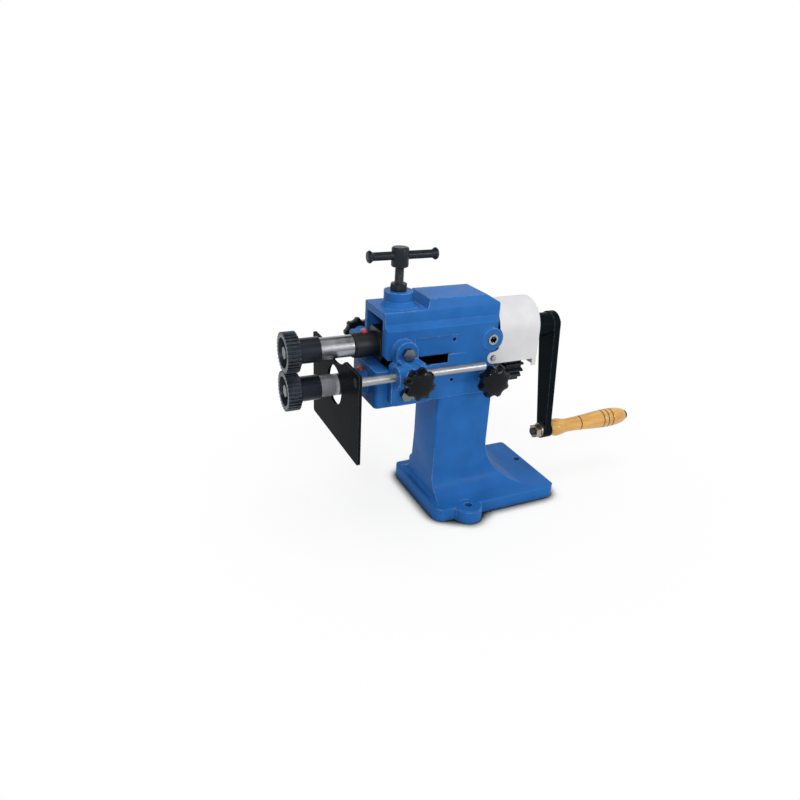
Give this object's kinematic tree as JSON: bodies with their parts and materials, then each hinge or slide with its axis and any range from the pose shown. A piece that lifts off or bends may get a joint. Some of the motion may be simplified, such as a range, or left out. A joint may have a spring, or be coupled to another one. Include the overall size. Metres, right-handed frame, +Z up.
{
  "type": "hand cranked bead roller",
  "caption": "Bench machine with a cast column and head, geared shafts with toothed rolls, a pressure screw on a swing arm, a sliding fence and a crank with a wooden grip.",
  "frame": {"origin": "centre of the base plate's outline on its underside, where it stands on the bench", "axes": "+X along the shafts towards the crank, +Y to the back, away from the lock knob, +Z up"},
  "size_m": [0.505, 0.2006, 0.3353],
  "materials": {
    "blue_paint": "semi-gloss enamel on a casting",
    "black_paint": "gloss black enamel",
    "cover_paint": "light grey paint on sheet steel",
    "black_steel": "blackened, slightly oily",
    "bright_steel": "ground",
    "bronze": "turned",
    "wood": "turned and varnished, with burnt rings",
    "red_plastic": "moulded",
    "black_plastic": "moulded, glossy"
  },
  "bodies": {
    "frame": {"frame_casting": "blue_paint", "guide_bracket_front": "blue_paint", "guide_bracket_rear": "blue_paint", "bracket_bolts": "black_steel", "gear_cover": "cover_paint", "cover_screws": "bright_steel", "lower_front_bush": "bronze", "pivot_screws": "bright_steel", "lower_oil_cap": "red_plastic", "lift_spring": "bright_steel"},
    "swing_arm": {"swing_arm": "black_paint", "arm_front_bush": "bronze", "arm_rear_bush": "bronze", "upper_oil_cap": "red_plastic", "pressure_button": "bright_steel"},
    "drive": {"upper_shaft": "bright_steel", "upper_roll": "black_steel", "upper_roll_screw": "bright_steel", "upper_roll_washer": "bright_steel", "upper_roll_key": "bright_steel", "upper_gear": "black_steel", "upper_gear_key": "bright_steel", "shaft_spacer": "black_steel", "crank_arm": "black_paint", "crank_key": "bright_steel", "crank_washer": "bright_steel", "crank_bolt": "bright_steel", "handle_stud": "bright_steel", "handle_nut": "bright_steel", "handle_washer": "bright_steel"},
    "grip": {"handle_grip": "wood"},
    "lower_sleeve": {"lower_rear_sleeve": "black_steel", "lower_rear_bush": "bronze"},
    "lower_drive": {"lower_shaft": "bright_steel", "lower_roll": "black_steel", "lower_roll_screw": "bright_steel", "lower_roll_washer": "bright_steel", "lower_roll_key": "bright_steel", "lower_gear": "black_steel", "lower_gear_key": "bright_steel", "lower_gear_ring": "bright_steel"},
    "screw_pad": {"swivel_pad": "bright_steel"},
    "pressure_screw": {"pressure_screw": "black_steel"},
    "tommy_bar": {"tommy_bar": "black_steel", "tommy_bar_ends": "black_steel"},
    "lock_nut": {"lock_nut": "black_steel"},
    "fence": {"fence_plate": "black_paint", "guide_rod_front": "bright_steel", "guide_rod_rear": "bright_steel", "fence_screws": "black_steel"},
    "front_clamp_knob": {"clamp_knob_front": "black_plastic"},
    "rear_clamp_knob": {"clamp_knob_rear": "black_plastic"},
    "lock_knob": {"shaft_lock_knob": "black_plastic"}
  },
  "joints": [
    {"name": "screw_feed", "type": "slide", "parent": "frame", "child": "screw_pad", "axis": [0, 0, 1], "range_m": [0, 0.00411]},
    {"name": "screw_turn", "type": "hinge", "parent": "screw_pad", "child": "pressure_screw", "pos_m": [-0.1275, 0, 0.29], "axis": [0, 0, 1], "range_deg": [0, 984]},
    {"name": "bar_slide", "type": "slide", "parent": "pressure_screw", "child": "tommy_bar", "axis": [1, 0, 0], "range_m": [-0.029, 0.022]},
    {"name": "lock_nut_turn", "type": "hinge", "parent": "frame", "child": "lock_nut", "pos_m": [-0.1275, 0, 0.29], "axis": [0, 0, 1], "range_deg": [0, 180]},
    {"name": "arm_tilt", "type": "hinge", "parent": "frame", "child": "swing_arm", "pos_m": [-0.0154, 0, 0.2265], "axis": [0, 1, 0], "range_deg": [0, 2.11], "deforming": ["lift_spring"]},
    {"name": "crank_turn", "type": "hinge", "parent": "swing_arm", "child": "drive", "pos_m": [0, 0, 0.225], "axis": [1, 0, 0], "continuous": true},
    {"name": "grip_spin", "type": "hinge", "parent": "drive", "child": "grip", "pos_m": [0.17, -0.01957, 0.0783], "axis": [1, 0, 0], "continuous": true},
    {"name": "sleeve_shift", "type": "slide", "parent": "frame", "child": "lower_sleeve", "axis": [1, 0, 0], "range_m": [-0.002, 0.002]},
    {"name": "lower_turn", "type": "hinge", "parent": "lower_sleeve", "child": "lower_drive", "pos_m": [0, 0, 0.179], "axis": [1, 0, 0], "continuous": true},
    {"name": "fence_slide", "type": "slide", "parent": "frame", "child": "fence", "axis": [1, 0, 0], "range_m": [-0.036, 0.03]},
    {"name": "front_clamp_turn", "type": "hinge", "parent": "frame", "child": "front_clamp_knob", "pos_m": [-0.1405, -0.082, 0.208], "axis": [0, -1, 0], "range_deg": [0, 360]},
    {"name": "rear_clamp_turn", "type": "hinge", "parent": "frame", "child": "rear_clamp_knob", "pos_m": [-0.1405, 0.082, 0.208], "axis": [0, 1, 0], "range_deg": [0, 360]},
    {"name": "lock_knob_turn", "type": "hinge", "parent": "frame", "child": "lock_knob", "pos_m": [-0.0185, -0.043, 0.179], "axis": [0, -1, 0], "range_deg": [0, 360]}
  ],
  "couplings": [
    {"joint": "screw_feed", "follows": "screw_turn", "m_per_rad": 0.00023873},
    {"joint": "arm_tilt", "follows": "screw_turn", "ratio": 0.0021296},
    {"joint": "lower_turn", "follows": "crank_turn", "ratio": -1}
  ]
}
